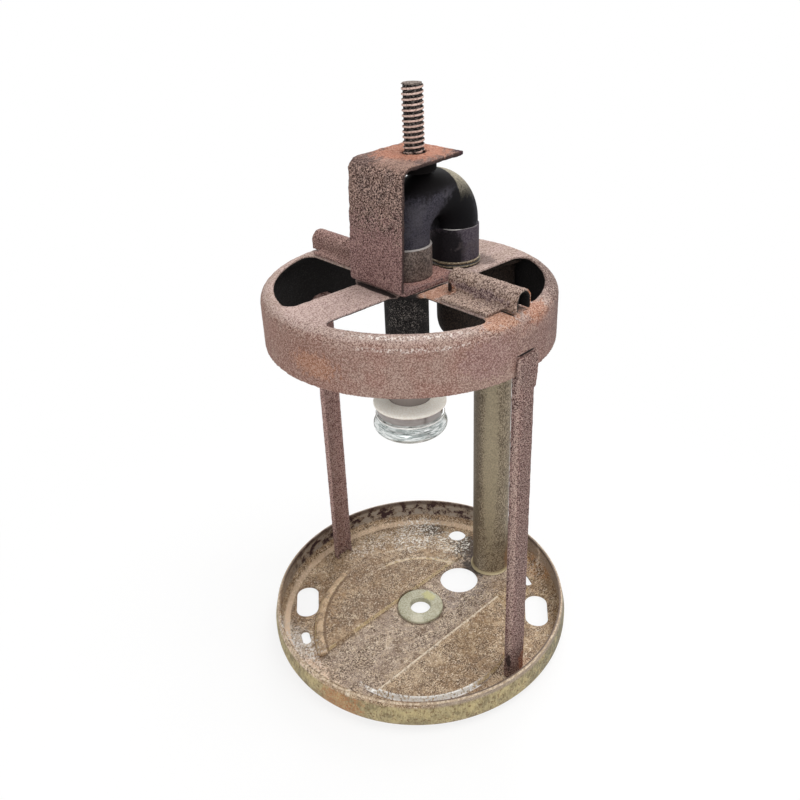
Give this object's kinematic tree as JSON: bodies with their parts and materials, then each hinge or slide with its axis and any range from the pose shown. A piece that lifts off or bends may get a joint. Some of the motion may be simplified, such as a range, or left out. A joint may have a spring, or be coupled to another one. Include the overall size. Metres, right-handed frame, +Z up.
{
  "type": "lantern burner frame",
  "caption": "Pressed steel burner frame of a mantle lantern: pan, legs, air tube, spoked top ring, hairpin gas tube, bracket with threaded stud and hanging burner.",
  "frame": {"origin": "centre of the pan's underside, on the axis of the top ring", "axes": "+Z up along the stud; +X towards the air tube and the hairpin tube's outer leg; the legs and saddles stand at -Y (front) and +Y (rear)"},
  "size_m": [0.099, 0.099, 0.1774],
  "materials": {
    "plated_pan": "worn yellow zinc plating, stained and rusted",
    "pale_zinc": "pale yellow passivated zinc",
    "scaled_steel": "rough oxide scale with rust",
    "pale_scaled_steel": "rough pale oxide scale with rust",
    "olive_tube": "satin, heat tinted",
    "charcoal_tube": "dark heat-blackened satin",
    "grey_collar": "heat tinted grey brown",
    "dull_brass": "tarnished",
    "sooted_tube": "sooted, flaking",
    "ashen_flange": "matt, whitened by mantle ash",
    "silvered_cap": "bright, streaked",
    "wire_gauze": "woven wire"
  },
  "bodies": {
    "root": {"base_pan": "plated_pan", "pan_bushing": "pale_zinc", "front_leg": "scaled_steel", "rear_leg": "scaled_steel", "air_tube": "olive_tube", "top_ring": "pale_scaled_steel", "front_saddle": "pale_scaled_steel", "rear_saddle": "pale_scaled_steel", "bracket": "scaled_steel", "stud": "scaled_steel", "hairpin_tube": "charcoal_tube", "centre_collar": "grey_collar", "outer_sleeve": "charcoal_tube", "outer_ferrule": "dull_brass", "mixing_chamber": "sooted_tube", "down_tube": "sooted_tube", "burner_flange": "ashen_flange", "burner_cap": "silvered_cap", "gauze_1": "wire_gauze", "gauze_2": "wire_gauze"}
  },
  "joints": []
}
